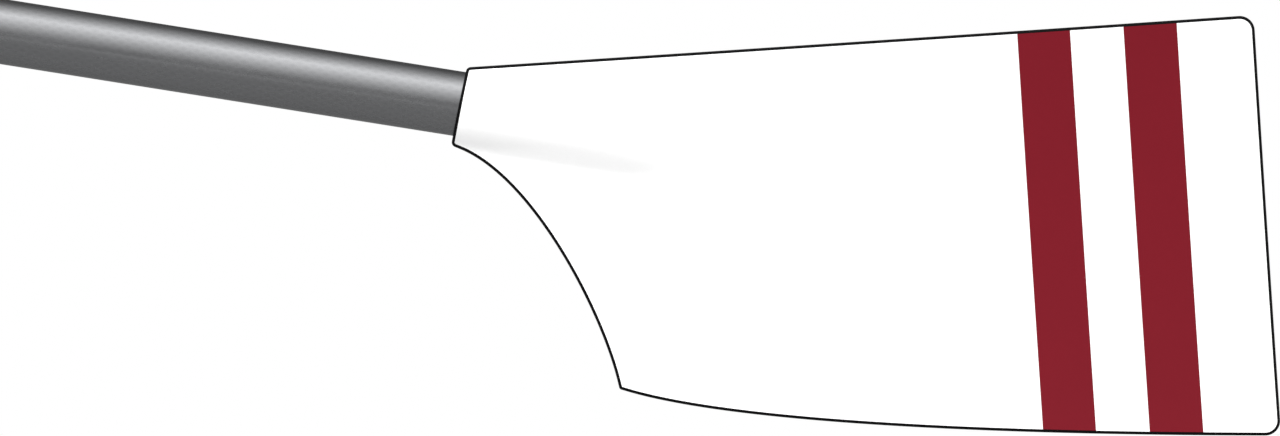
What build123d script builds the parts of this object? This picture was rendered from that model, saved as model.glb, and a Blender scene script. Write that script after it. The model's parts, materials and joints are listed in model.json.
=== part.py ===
"""A carbon sweep oar with a short, wide hatchet blade. Millimetres.

X runs along the shaft towards the blade, and X = 0 is the button's outboard face, which bears on the oarlock.
Z is up with the blade squared. Y points to the boat's bow, so the blade's hollow power face looks along -Y.
"""
import math
import os

from build123d import *

# --- Places along the shaft ---
BLADE_ROOT_X = 2002.0  # where the shaft goes into the blade
SHAFT_MOUTH_X = -500.0  # the shaft's open inboard end

# --- Clearances ---
RUNNING = 0.05  # radial, on what slides or turns
RING_SQUEEZE_GAP = 0.03  # radial, left outside the O-ring
LOOSE = 0.4  # radial, round screws and in their pockets
SEAT_GAP = 0.05  # under a screw's head

# --- Shaft tube ---
SHAFT_OD = 46.0
SHAFT_BLADE_OD = 40.4
SHAFT_WALL = 1.8
SHAFT_TAPER_SETBACK = 150.0  # from the sleeve's outboard end
SHAFT_TAPER_LENGTH = 1350.0
SHAFT_SOCKET_DEPTH = 75.0  # length of shaft inside the blade
SHAFT_PLUG_LENGTH = 25.0
MOUTH_SLOT_WIDTH = 2.0
MOUTH_SLOT_LENGTH = 40.0

# --- Blade outline: u runs along the top edge from the root, v down from it ---
BLADE_LENGTH = 487.5
BLADE_WIDTH = 260.3
BLADE_TILT = 12.74  # degrees, top edge above the shaft's line
ROOT_RISE = 3.0  # blade above the shaft at the root
ROOT_DROP = 6.0  # blade below the shaft at the root
ROOT_LEAN = 2.4  # degrees, root edge off square to the shaft
ROOT_CORNER_RADIUS = 3.0
HEEL_U = 81.6
HEEL_RISE = 54.7  # heel above the tip's lower corner, across the blade
ROOT_LEAD = 6.0  # straight start of the neck's lower edge
HEEL_LEAD = 5.0  # straight either side of the heel
HEEL_RADIUS = 2.0
NECK_START_ANGLE = 26.2  # degrees below the top edge's line
NECK_END_ANGLE = 79.8
NECK_START_PULL = 0.277  # shares of the neck's chord
NECK_END_PULL = 0.265
KEEL_START_ANGLE = 20.2
KEEL_END_ANGLE = 3.8
KEEL_START_PULL = 0.194  # shares of the lower edge's chord
KEEL_END_PULL = 0.371
KEEL_TAIL = 27.0  # straight end of the lower edge
TIP_CORNER_RADIUS = 9.3
TIP_ANGLE = -90.0
TOP_ANGLE = 180.0

# --- Blade section ---
BLADE_BOW = 52.0  # how far the tip bends to the power face
BLADE_BOW_FROM_U = 60.0
BLADE_DISH = 5.0  # hollow across the blade
BLADE_DISH_FULL_U = 300.0
BLADE_ROOT_THICKNESS = 9.0
BLADE_TIP_THICKNESS = 4.5
SKIN = 1.1
EDGE_BAND = 1.5
NECK_WALL = 3.8  # neck over the shaft, front and back
NECK_SIDE_WALL = 6.8  # half width of the neck's ridge beyond the shaft's radius
NECK_SHAPE_POWER = 2.4  # 2 is a parabola, higher is squarer
NECK_SINK = 1.2
NECK_BLEND = 6.0
FRONT_RIDGE_LENGTH = 140.0  # from the end of the shaft's socket
BACK_RIDGE_LENGTH = 285.0
FRONT_RIDGE_SPREAD = 0.8
BACK_RIDGE_SPREAD = 0.15
GRID_STEP_X = 10.0  # between the points that a surface is passed through
GRID_STEP_Z = 5.0
SURFACE_TOLERANCE = 0.1

# --- Sleeve: round, with a flat for the squared and one for the feathered blade ---
SLEEVE_WALL = 6.5
SLEEVE_FLAT_WALL = 3.0
SLEEVE_FROM_X = -120.0
SLEEVE_TO_X = 150.0
SLEEVE_END_TAPER = 16.0
SLEEVE_END_LIP = 1.0
PLATE_WIDTH = 23.0
PLATE_THICKNESS = 1.5
PLATE_FROM_X = 8.0
PLATE_TO_X = 142.0
PLATE_CORNER = 4.0

# --- Button: a split collar with a flange ---
FLANGE_RISE = 15.5  # above the hub
FLANGE_THICKNESS = 8.0
FLANGE_EDGE_RADIUS = 2.5
HUB_WALL = 7.5
HUB_LENGTH = 46.0
RIB_COUNT = 14  # places for a rib round the hub, two of them taken by the lugs
RIB_THICKNESS = 2.6
RIB_LENGTH = 15.0
RIB_SETBACK = 4.0  # below the flange's rim

# --- Handle clamp on the shaft's mouth ---
CLAMP_WALL = 4.0
CLAMP_WIDTH = 18.0
CLAMP_SETBACK = 3.0
SPLIT_GAP = 3.0

# --- Handle ---
BUSH_WALL = 2.0
BUSH_LENGTH = 120.0
BUSH_LIP = 2.5
HANDLE_TRAVEL = 100.0
HANDLE_STOP_GAP = 0.5
HANDLE_WALL = 1.6
HANDLE_NECK_OFFSET = 20.0  # full size outside the shaft's mouth
HANDLE_NECK_LENGTH = 120.0
HANDLE_BARE_LENGTH = 18.5  # between the neck and the inner grip
HANDLE_GRIP_OD = 33.0
TAIL_RING_LENGTH = 16.0
TAIL_PLUG_LENGTH = 12.0
O_RING_SECTION = 1.6
O_RING_GROOVE_WIDTH = 2.2
GRIP_THICKNESS = 2.6
GRIP_EDGE_RADIUS = 1.8
OUTER_GRIP_LENGTH = 158.0
GRIP_SPACING = 60.0
INNER_GRIP_LENGTH = 262.0
CAP_THICKNESS = 4.0
CAP_OVERLAP = 2.0
CAP_PLUG_LENGTH = 16.0
CAP_EDGE_RADIUS = 2.0


class ClampScrew:
    """A socket screw across a clamp's two lugs, with its washer and captive nut."""

    def __init__(self, diameter, head_diameter, head_height, key, washer_diameter, washer_height, nut_flats,
                 nut_height):
        self.radius = diameter / 2
        self.head_radius = head_diameter / 2
        self.head_height = head_height
        self.key = key
        self.washer_radius = washer_diameter / 2
        self.washer_height = washer_height
        self.nut_flats = nut_flats
        self.nut_height = nut_height


M6 = ClampScrew(6.0, 10.0, 6.0, 5.0, 12.0, 1.6, 10.0, 5.0)
M5 = ClampScrew(5.0, 8.5, 5.0, 4.0, 10.0, 1.0, 8.0, 4.0)
LUG_HALF_WIDTH = 15.0  # of the button's lugs, along Z
LUG_LENGTH = 24.0  # along the shaft
CLAMP_LUG_HALF_WIDTH = 12.0
LUG_EDGE = 2.6  # plastic or metal outside a screw's pocket

# --- Sizes that follow ---
SHAFT_RADIUS = SHAFT_OD / 2
SHAFT_BORE_RADIUS = SHAFT_RADIUS - SHAFT_WALL
BLADE_SHAFT_RADIUS = SHAFT_BLADE_OD / 2
SHAFT_END_X = BLADE_ROOT_X + SHAFT_SOCKET_DEPTH
SHAFT_TAPER_FROM_X = SLEEVE_TO_X + SHAFT_TAPER_SETBACK
SHAFT_TAPER_TO_X = SHAFT_TAPER_FROM_X + SHAFT_TAPER_LENGTH
SLEEVE_RADIUS = SHAFT_RADIUS + SLEEVE_WALL
SLEEVE_FLAT = SHAFT_RADIUS + SLEEVE_FLAT_WALL
ROOT_TOP_Z = BLADE_SHAFT_RADIUS + ROOT_RISE
ROOT_LOW_Z = -BLADE_SHAFT_RADIUS - ROOT_DROP
ROOT_MIDDLE_Z = (ROOT_TOP_Z + ROOT_LOW_Z) / 2
ROOT_TOP_X = BLADE_ROOT_X + ROOT_TOP_Z * math.tan(math.radians(ROOT_LEAN))
BUSH_BORE_RADIUS = SHAFT_BORE_RADIUS - BUSH_WALL
HANDLE_RADIUS = BUSH_BORE_RADIUS - RUNNING
HANDLE_GRIP_RADIUS = HANDLE_GRIP_OD / 2
BUSH_END_X = SHAFT_MOUTH_X + BUSH_LENGTH
HANDLE_TAIL_X = BUSH_END_X + HANDLE_TRAVEL + HANDLE_STOP_GAP + TAIL_RING_LENGTH
HANDLE_NECK_FROM_X = SHAFT_MOUTH_X - BUSH_LIP - HANDLE_NECK_OFFSET
HANDLE_NECK_TO_X = HANDLE_NECK_FROM_X - HANDLE_NECK_LENGTH
INNER_GRIP_TO_X = HANDLE_NECK_TO_X - HANDLE_BARE_LENGTH
INNER_GRIP_FROM_X = INNER_GRIP_TO_X - INNER_GRIP_LENGTH
OUTER_GRIP_TO_X = INNER_GRIP_FROM_X - GRIP_SPACING
HANDLE_TUBE_END_X = OUTER_GRIP_TO_X - OUTER_GRIP_LENGTH
HANDLE_END_X = HANDLE_TUBE_END_X - CAP_THICKNESS
GRIP_RADIUS = HANDLE_GRIP_RADIUS + GRIP_THICKNESS
HUB_RADIUS = SLEEVE_RADIUS + HUB_WALL
FLANGE_RADIUS = HUB_RADIUS + FLANGE_RISE
CLAMP_RADIUS = SHAFT_RADIUS + CLAMP_WALL
TILT_COS = math.cos(math.radians(BLADE_TILT))
TILT_SIN = math.sin(math.radians(BLADE_TILT))
FAR = 400.0  # larger than any section


# --- Helpers ---
def turned(*corners):
    """Turn a closed outline of (x, radius) corners about the shaft's axis."""
    return revolve(make_face(Polyline(*corners, close=True)), Axis.X)


def tube(from_x, to_x, outer, inner):
    return turned((from_x, inner), (to_x, inner), (to_x, outer), (from_x, outer))


def rod(from_x, to_x, radius):
    return turned((from_x, 0), (to_x, 0), (to_x, radius), (from_x, radius))


def block(from_x, to_x, from_y, to_y, from_z, to_z):
    size = Box(to_x - from_x, to_y - from_y, to_z - from_z, align=(Align.MIN, Align.MIN, Align.MIN))
    return Pos(from_x, from_y, from_z) * size


def upright(x, y, from_z, to_z, radius):
    """A round bar along Z."""
    return Pos(x, y, from_z) * Cylinder(radius, to_z - from_z, align=(Align.CENTER, Align.CENTER, Align.MIN))


def upright_hexagon(x, y, from_z, to_z, flats):
    hexagon = RegularPolygon(flats / 2, 6, major_radius=False)
    return Pos(x, y, from_z) * extrude(hexagon, to_z - from_z)


# --- Blade outline, in a plane whose own x is u and whose own y is -v ---
def heading(angle):
    """The direction an angle below the top edge's line points, in degrees."""
    return Vector(math.cos(math.radians(angle)), -math.sin(math.radians(angle)))


def inward(angle):
    """Square to a heading, into the blade."""
    return Vector(math.sin(math.radians(angle)), math.cos(math.radians(angle)))


def rounded(corner, angle_in, angle_out, radius, inset):
    """The arc that rounds a corner between two headings, moved in by the inset."""
    back = heading(angle_in + 180)
    ahead = heading(angle_out)
    half = math.radians(back.get_angle(ahead)) / 2
    bisector = (back + ahead).normalized()
    corner = corner + bisector * (inset / math.sin(half))
    radius = radius - inset
    reach = radius / math.tan(half)
    middle = corner + bisector * (radius / math.sin(half) - radius)
    return ThreePointArc(corner + back * reach, middle, corner + ahead * reach)


def pulled_curve(start, start_angle, start_pull, end, end_angle, end_pull, inset):
    """A curve that leaves and arrives at two angles, each pulled by a share of the chord."""
    start = start + inward(start_angle) * inset
    end = end + inward(end_angle) * inset
    chord = (end - start).length
    first = start + heading(start_angle) * (chord * start_pull)
    second = end - heading(end_angle) * (chord * end_pull)
    return Bezier(start, first, second, end)


def blade_outline(inset):
    """The blade's outline, or one parallel to it and inside it."""
    root_angle = 90 + BLADE_TILT + ROOT_LEAN
    root_length = (ROOT_TOP_Z - ROOT_LOW_Z) / math.cos(math.radians(ROOT_LEAN))
    top_root = Vector(0, 0)
    low_root = top_root + heading(root_angle) * root_length
    heel = Vector(HEEL_U, HEEL_RISE - BLADE_WIDTH)
    tip_low = Vector(BLADE_LENGTH, -BLADE_WIDTH)
    tip_top = Vector(BLADE_LENGTH, 0)
    neck_start = low_root + heading(NECK_START_ANGLE) * ROOT_LEAD
    neck_end = heel - heading(NECK_END_ANGLE) * HEEL_LEAD
    keel_start = heel + heading(KEEL_START_ANGLE) * HEEL_LEAD
    keel_end = tip_low - heading(KEEL_END_ANGLE) * KEEL_TAIL
    parts = [
        rounded(top_root, TOP_ANGLE, root_angle, ROOT_CORNER_RADIUS, inset),
        rounded(low_root, root_angle, NECK_START_ANGLE, ROOT_CORNER_RADIUS, inset),
        pulled_curve(
            neck_start, NECK_START_ANGLE, NECK_START_PULL, neck_end, NECK_END_ANGLE, NECK_END_PULL, inset
        ),
        rounded(heel, NECK_END_ANGLE, KEEL_START_ANGLE, HEEL_RADIUS, inset),
        pulled_curve(
            keel_start, KEEL_START_ANGLE, KEEL_START_PULL, keel_end, KEEL_END_ANGLE, KEEL_END_PULL, inset
        ),
        rounded(tip_low, KEEL_END_ANGLE, TIP_ANGLE, TIP_CORNER_RADIUS, inset),
        rounded(tip_top, TIP_ANGLE, TOP_ANGLE, TIP_CORNER_RADIUS, inset),
    ]
    edges = []
    for part, following in zip(parts, parts[1:] + parts[:1]):
        edges += [part, Line(part @ 1, following @ 0)]
    return make_face(edges)


# --- Blade surfaces: heights over the outline's plane, towards +Y ---
def fade(distance, length):
    """1 up to zero distance, then a smooth fall to 0 over a length."""
    share = min(max(distance / length, 0.0), 1.0)
    return (1 + math.cos(math.pi * share)) / 2


def blended_larger(first, second, blend):
    """The larger of two heights, with the crease between them rounded."""
    near = max(blend - abs(first - second), 0.0)
    return max(first, second) + near * near / (4 * blend)


def blade_middle(u, v):
    """The middle of the blade's sheet: bent along its length, slightly hollow across."""
    bent = max(u - BLADE_BOW_FROM_U, 0.0) / (BLADE_LENGTH - BLADE_BOW_FROM_U)
    across = (v - BLADE_WIDTH / 2) / (BLADE_WIDTH / 2)
    hollow = 1 - fade(u - BLADE_BOW_FROM_U, BLADE_DISH_FULL_U - BLADE_BOW_FROM_U)
    return BLADE_DISH * hollow * (1 - across * across) - BLADE_BOW * bent * bent


def blade_thickness(u):
    share = min(max((u - BLADE_BOW_FROM_U) / (BLADE_LENGTH - BLADE_BOW_FROM_U), 0.0), 1.0)
    return BLADE_ROOT_THICKNESS + (BLADE_TIP_THICKNESS - BLADE_ROOT_THICKNESS) * share


def neck_ridge(x, z, length, spread):
    """The ridge that wraps the shaft and sinks into the sheet beyond the socket."""
    beyond = x - SHAFT_END_X
    left = fade(beyond, length)
    half_width = (BLADE_SHAFT_RADIUS + NECK_SIDE_WALL) * (1 + spread * (1 - left))
    off = abs(z - ROOT_MIDDLE_Z * left) / half_width
    height = BLADE_SHAFT_RADIUS + NECK_WALL
    return height * (1 - off**NECK_SHAPE_POWER - NECK_SINK * (1 - left))


def blade_height(x, z, side):
    """Height of the blade's surface: side is -1 for the power face and 1 for the back."""
    ahead = x - ROOT_TOP_X
    above = z - ROOT_TOP_Z
    u = ahead * TILT_COS + above * TILT_SIN
    v = ahead * TILT_SIN - above * TILT_COS
    if side < 0:
        ridge = neck_ridge(x, z, FRONT_RIDGE_LENGTH, FRONT_RIDGE_SPREAD)
    else:
        ridge = neck_ridge(x, z, BACK_RIDGE_LENGTH, BACK_RIDGE_SPREAD)
    return blade_middle(u, v) + side * blended_larger(blade_thickness(u) / 2, ridge, NECK_BLEND)


def inner_height(x, z, side):
    """Height of the surface one skin in, measured square to the outer surface."""
    step = 0.5
    slope_x = (blade_height(x + step, z, side) - blade_height(x - step, z, side)) / (2 * step)
    slope_z = (blade_height(x, z + step, side) - blade_height(x, z - step, side)) / (2 * step)
    return blade_height(x, z, side) - side * SKIN * math.sqrt(1 + slope_x**2 + slope_z**2)


def height_solid(height, side, area):
    """Everything on the inner side of a height surface, over a rectangle (low x, low z, high x, high z)."""
    low_x, low_z, high_x, high_z = area
    count_x = math.ceil((high_x - low_x) / GRID_STEP_X)
    count_z = math.ceil((high_z - low_z) / GRID_STEP_Z)
    rows = []
    for i in range(count_x + 1):
        x = low_x + (high_x - low_x) * i / count_x
        row = []
        for j in range(count_z + 1):
            z = low_z + (high_z - low_z) * j / count_z
            row.append((x, height(x, z, side), z))
        rows.append(row)
    surface = Face.make_surface_from_array_of_points(rows, tol=SURFACE_TOLERANCE, min_deg=3)
    return extrude(surface, FAR, dir=(0, -side, 0))


def blade_parts():
    plane = Plane(origin=(ROOT_TOP_X, 0, ROOT_TOP_Z), x_dir=(TILT_COS, 0, TILT_SIN), z_dir=(0, -1, 0))
    whole = extrude(plane * blade_outline(0), FAR / 2, both=True)
    inside = extrude(plane * blade_outline(EDGE_BAND), FAR / 2, both=True)
    box = whole.bounding_box()
    margin = 10.0
    area = (box.min.X - margin, box.min.Z - margin, box.max.X + margin, box.max.Z + margin)
    front = height_solid(blade_height, -1, area)
    back = height_solid(blade_height, 1, area)
    front_inner = height_solid(inner_height, -1, area)
    back_inner = height_solid(inner_height, 1, area)
    socket = rod(BLADE_ROOT_X - FAR, SHAFT_END_X, BLADE_SHAFT_RADIUS)
    blade = inside & front & back
    parts = {
        "blade_face_skin": blade - front_inner,
        "blade_back_skin": blade - back_inner,
        "blade_core": (inside & front_inner & back_inner) - socket,
        "blade_edge_band": ((whole - inside) & front & back) - socket,
    }
    return parts


# --- Shaft ---
def mouth_slots():
    """The slots that let the clamp close the shaft's mouth on the handle."""
    end_x = SHAFT_MOUTH_X + MOUTH_SLOT_LENGTH
    half = MOUTH_SLOT_WIDTH / 2
    return block(SHAFT_MOUTH_X - FAR, end_x, -FAR, FAR, -half, half)


def shaft_parts():
    outside = [
        (SHAFT_MOUTH_X, SHAFT_RADIUS),
        (SHAFT_TAPER_FROM_X, SHAFT_RADIUS),
        (SHAFT_TAPER_TO_X, BLADE_SHAFT_RADIUS),
        (SHAFT_END_X, BLADE_SHAFT_RADIUS),
    ]
    bore = [(x, radius - SHAFT_WALL) for x, radius in reversed(outside)]
    plug_from_x = SHAFT_END_X - SHAFT_PLUG_LENGTH
    bush = tube(SHAFT_MOUTH_X, BUSH_END_X, SHAFT_BORE_RADIUS, BUSH_BORE_RADIUS)
    lip = tube(SHAFT_MOUTH_X - BUSH_LIP, SHAFT_MOUTH_X, SHAFT_RADIUS, BUSH_BORE_RADIUS)
    return {
        "shaft_tube": turned(*outside, *bore) - mouth_slots(),
        "shaft_end_plug": rod(plug_from_x, SHAFT_END_X, BLADE_SHAFT_RADIUS - SHAFT_WALL),
        "handle_bush": (bush + lip) - mouth_slots(),
    }


# --- Sleeve and button ---
def sleeve_section(grow):
    """The sleeve's section square to the shaft, made larger all round."""
    corner = SLEEVE_FLAT + grow
    side = 3 * SLEEVE_RADIUS
    square = Pos(corner, corner) * Rectangle(side, side, align=(Align.MAX, Align.MAX))
    return Plane.YZ * (Circle(SLEEVE_RADIUS + grow) & square)


def wear_plate(thickness_axis):
    """A plate let in flush with one of the sleeve's flats."""
    length = PLATE_TO_X - PLATE_FROM_X
    flat = extrude(RectangleRounded(length, PLATE_WIDTH, PLATE_CORNER), -PLATE_THICKNESS)
    middle_x = (PLATE_FROM_X + PLATE_TO_X) / 2
    if thickness_axis == "Y":
        return Pos(middle_x, SLEEVE_FLAT, 0) * Rot(-90, 0, 0) * flat
    return Pos(middle_x, 0, SLEEVE_FLAT) * flat


def sleeve_parts():
    end_radius = SHAFT_RADIUS + SLEEVE_END_LIP
    envelope = turned(
        (SLEEVE_FROM_X, SHAFT_RADIUS),
        (SLEEVE_TO_X, SHAFT_RADIUS),
        (SLEEVE_TO_X, end_radius),
        (SLEEVE_TO_X - SLEEVE_END_TAPER, SLEEVE_RADIUS),
        (SLEEVE_FROM_X + SLEEVE_END_TAPER, SLEEVE_RADIUS),
        (SLEEVE_FROM_X, end_radius),
    )
    length = SLEEVE_TO_X - SLEEVE_FROM_X
    bar = Pos(SLEEVE_FROM_X, 0, 0) * extrude(sleeve_section(0), length)
    plates = {"wear_plate_squared": wear_plate("Y"), "wear_plate_feathered": wear_plate("Z")}
    sleeve = envelope & bar
    for plate in plates.values():
        sleeve -= plate
    return {"sleeve": sleeve, **plates}


def screw_set(name, screw, x, y, half_width):
    """Screw, washer and nut across two lugs, and the pockets that they need in them."""
    head_top = half_width
    head_low = head_top - screw.head_height
    washer_top = head_low - SEAT_GAP
    washer_low = washer_top - screw.washer_height
    nut_low = -half_width
    nut_top = nut_low + screw.nut_height
    shank = upright(x, y, nut_low, head_low, screw.radius)
    head = upright(x, y, head_low, head_top, screw.head_radius)
    key_hole = upright_hexagon(x, y, head_top - screw.head_height / 2, head_top + 1, screw.key)
    washer = upright(x, y, washer_low, washer_top, screw.washer_radius)
    nut = upright_hexagon(x, y, nut_low, nut_top, screw.nut_flats)
    threaded = upright(x, y, nut_low, nut_top, screw.radius + RUNNING)
    hole = upright(x, y, nut_low - 1, head_top + 1, screw.radius + LOOSE)
    head_pocket = upright(x, y, washer_low, head_top + 1, screw.washer_radius + LOOSE)
    nut_pocket = upright_hexagon(x, y, nut_low - 1, nut_top, screw.nut_flats)
    parts = {
        name + "_screw": (head + shank) - key_hole,
        name + "_washer": washer - hole,
        name + "_nut": nut - threaded,
    }
    return parts, hole + head_pocket + nut_pocket


def lugs(screw, x, y, length, half_width, root_y):
    """The block that carries a clamp's screw, before its pockets and split."""
    reach = screw.washer_radius + LOOSE + LUG_EDGE
    solid = block(x - length / 2, x + length / 2, y - reach, root_y, -half_width, half_width)
    return fillet(solid.edges().filter_by(Axis.X).group_by(Axis.Y)[0], LUG_EDGE)


def flange_ribs():
    """Three-cornered ribs that brace the flange from the hub, leaving room for the lugs."""
    corners = [
        (-FLANGE_THICKNESS, SLEEVE_RADIUS + HUB_WALL / 2),
        (-FLANGE_THICKNESS, FLANGE_RADIUS - RIB_SETBACK),
        (-FLANGE_THICKNESS - RIB_LENGTH, SLEEVE_RADIUS + HUB_WALL / 2),
    ]
    rib = extrude(make_face(Polyline(*corners, close=True)), RIB_THICKNESS / 2, both=True)
    ribs = []
    for place in range(RIB_COUNT):
        angle = 360 * (place + 0.5) / RIB_COUNT
        from_lugs = abs(angle - 180)
        if from_lugs > 360 / RIB_COUNT:
            ribs.append(Rot(angle, 0, 0) * rib)
    return ribs


def button_parts():
    back_x = -FLANGE_THICKNESS - HUB_LENGTH
    screw_x = (back_x - FLANGE_THICKNESS) / 2
    screw_y = -HUB_RADIUS - M6.radius
    hub = rod(back_x, 0, HUB_RADIUS)
    flange = rod(-FLANGE_THICKNESS, 0, FLANGE_RADIUS)
    flange = fillet(flange.edges().filter_by(GeomType.CIRCLE), FLANGE_EDGE_RADIUS)
    lug = lugs(M6, screw_x, screw_y, LUG_LENGTH, LUG_HALF_WIDTH, -SLEEVE_RADIUS)
    bore = Pos(back_x - 1, 0, 0) * extrude(sleeve_section(RUNNING), HUB_LENGTH + FLANGE_THICKNESS + 2)
    split = block(back_x - 1, 1, -FAR, -SLEEVE_FLAT / 2, -SPLIT_GAP / 2, SPLIT_GAP / 2)
    parts, pockets = screw_set("button", M6, screw_x, screw_y, LUG_HALF_WIDTH)
    solid = hub + flange + lug
    for rib in flange_ribs():
        solid += rib
    return {"button": solid - bore - split - pockets, **parts}


# --- Handle clamp ---
def clamp_parts():
    from_x = SHAFT_MOUTH_X + CLAMP_SETBACK
    to_x = from_x + CLAMP_WIDTH
    screw_x = (from_x + to_x) / 2
    screw_y = -CLAMP_RADIUS - M5.radius
    ring = rod(from_x, to_x, CLAMP_RADIUS)
    lug = lugs(M5, screw_x, screw_y, CLAMP_WIDTH, CLAMP_LUG_HALF_WIDTH, -SHAFT_RADIUS)
    bore = rod(from_x - 1, to_x + 1, SHAFT_RADIUS)
    split = block(from_x - 1, to_x + 1, -FAR, -SHAFT_RADIUS / 2, -SPLIT_GAP / 2, SPLIT_GAP / 2)
    parts, pockets = screw_set("clamp", M5, screw_x, screw_y, CLAMP_LUG_HALF_WIDTH)
    return {"clamp_ring": (ring + lug) - bore - split - pockets, **parts}


# --- Handle ---
def grip(from_x, to_x):
    body = tube(from_x, to_x, GRIP_RADIUS, HANDLE_GRIP_RADIUS)
    rims = body.edges().filter_by(GeomType.CIRCLE).filter_by(lambda edge: edge.radius > HANDLE_GRIP_RADIUS)
    return fillet(rims, GRIP_EDGE_RADIUS)


def tail_ring_parts():
    from_x = HANDLE_TAIL_X - TAIL_RING_LENGTH
    ring_radius = SHAFT_BORE_RADIUS - RUNNING
    o_ring_radius = SHAFT_BORE_RADIUS - RING_SQUEEZE_GAP - O_RING_SECTION / 2
    middle_x = (from_x + HANDLE_TAIL_X) / 2
    half = O_RING_GROOVE_WIDTH / 2
    groove_radius = o_ring_radius - O_RING_SECTION / 2
    groove = tube(middle_x - half, middle_x + half, ring_radius + 1, groove_radius)
    o_ring = Pos(middle_x, 0, 0) * Rot(0, 90, 0) * Torus(o_ring_radius, O_RING_SECTION / 2)
    return {
        "tail_ring": tube(from_x, HANDLE_TAIL_X, ring_radius, HANDLE_RADIUS) - groove,
        "tail_o_ring": o_ring,
    }


def handle_parts():
    outside = [
        (HANDLE_TAIL_X, HANDLE_RADIUS),
        (HANDLE_NECK_FROM_X, HANDLE_RADIUS),
        (HANDLE_NECK_TO_X, HANDLE_GRIP_RADIUS),
        (HANDLE_TUBE_END_X, HANDLE_GRIP_RADIUS),
    ]
    bore = [(x, radius - HANDLE_WALL) for x, radius in reversed(outside)]
    plug_from_x = HANDLE_TAIL_X - TAIL_PLUG_LENGTH
    cap = rod(HANDLE_END_X, HANDLE_TUBE_END_X, HANDLE_GRIP_RADIUS + CAP_OVERLAP)
    cap = fillet(cap.edges().group_by(Axis.X)[0], CAP_EDGE_RADIUS)
    cap_plug = rod(HANDLE_TUBE_END_X, HANDLE_TUBE_END_X + CAP_PLUG_LENGTH, HANDLE_GRIP_RADIUS - HANDLE_WALL)
    return {
        "handle_tube": turned(*outside, *bore),
        **tail_ring_parts(),
        "tail_plug": rod(plug_from_x, HANDLE_TAIL_X, HANDLE_RADIUS - HANDLE_WALL),
        "outer_grip": grip(HANDLE_TUBE_END_X, OUTER_GRIP_TO_X),
        "inner_grip": grip(INNER_GRIP_FROM_X, INNER_GRIP_TO_X),
        "end_cap": cap + cap_plug,
    }


def main():
    os.makedirs("parts", exist_ok=True)
    groups = (blade_parts, shaft_parts, sleeve_parts, button_parts, clamp_parts, handle_parts)
    for group in groups:
        for node, solid in group().items():
            solid.label = node
            export_step(solid, f"parts/{node}.step")


main()
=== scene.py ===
import json
import math

import bmesh
import bpy
import numpy as np
from mathutils import Matrix, Vector
from mathutils.geometry import delaunay_2d_cdt

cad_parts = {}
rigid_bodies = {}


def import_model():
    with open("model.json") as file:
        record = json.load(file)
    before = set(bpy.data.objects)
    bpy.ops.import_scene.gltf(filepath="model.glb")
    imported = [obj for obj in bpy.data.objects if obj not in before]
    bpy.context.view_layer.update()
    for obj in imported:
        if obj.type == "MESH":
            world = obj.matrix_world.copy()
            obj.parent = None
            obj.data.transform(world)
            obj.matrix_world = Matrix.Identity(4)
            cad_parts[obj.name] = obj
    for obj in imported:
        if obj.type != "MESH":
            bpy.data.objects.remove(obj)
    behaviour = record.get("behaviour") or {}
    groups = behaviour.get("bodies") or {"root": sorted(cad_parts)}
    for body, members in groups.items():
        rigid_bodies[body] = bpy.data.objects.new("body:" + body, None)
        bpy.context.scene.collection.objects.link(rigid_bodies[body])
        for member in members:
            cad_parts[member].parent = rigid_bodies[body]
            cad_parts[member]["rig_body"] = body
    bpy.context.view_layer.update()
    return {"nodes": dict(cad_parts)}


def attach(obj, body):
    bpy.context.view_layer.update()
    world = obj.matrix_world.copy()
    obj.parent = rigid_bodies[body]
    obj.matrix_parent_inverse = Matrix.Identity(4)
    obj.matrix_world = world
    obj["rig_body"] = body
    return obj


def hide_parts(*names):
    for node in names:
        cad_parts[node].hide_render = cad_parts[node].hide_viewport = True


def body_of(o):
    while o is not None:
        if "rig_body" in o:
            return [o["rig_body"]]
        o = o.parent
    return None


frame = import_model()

MM = 0.001

# --- The blade's sizes, in millimetres, as the CAD model has them ---
BLADE_ROOT_X = 2002.0
SHAFT_RADIUS_AT_BLADE = 20.2
SOCKET_DEPTH = 75.0
BLADE_LENGTH = 487.5
BLADE_WIDTH = 260.3
BLADE_TILT = math.radians(12.74)
ROOT_RISE = 3.0
ROOT_DROP = 6.0
ROOT_LEAN = 2.4
ROOT_CORNER_RADIUS = 3.0
ROOT_LEAD = 6.0
HEEL_U = 81.6
HEEL_V = BLADE_WIDTH - 54.7
HEEL_LEAD = 5.0
HEEL_RADIUS = 2.0
NECK_ANGLES = (26.2, 79.8)
NECK_PULLS = (0.277, 0.265)
KEEL_ANGLES = (20.2, 3.8)
KEEL_PULLS = (0.194, 0.371)
KEEL_TAIL = 27.0
TIP_CORNER_RADIUS = 9.3
TIP_ANGLE = -90.0
TOP_ANGLE = 180.0
BLADE_BOW = 52.0
BLADE_BOW_FROM_U = 60.0
BLADE_DISH = 5.0
BLADE_DISH_FULL_U = 300.0
BLADE_ROOT_THICKNESS = 9.0
BLADE_TIP_THICKNESS = 4.5
NECK_WALL = 3.8
NECK_SIDE_WALL = 6.8
NECK_SHAPE_POWER = 2.4
NECK_SINK = 1.2
NECK_BLEND = 6.0
RIDGE_LENGTHS = {-1: 140.0, 1: 285.0}
RIDGE_SPREADS = {-1: 0.8, 1: 0.15}

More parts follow.
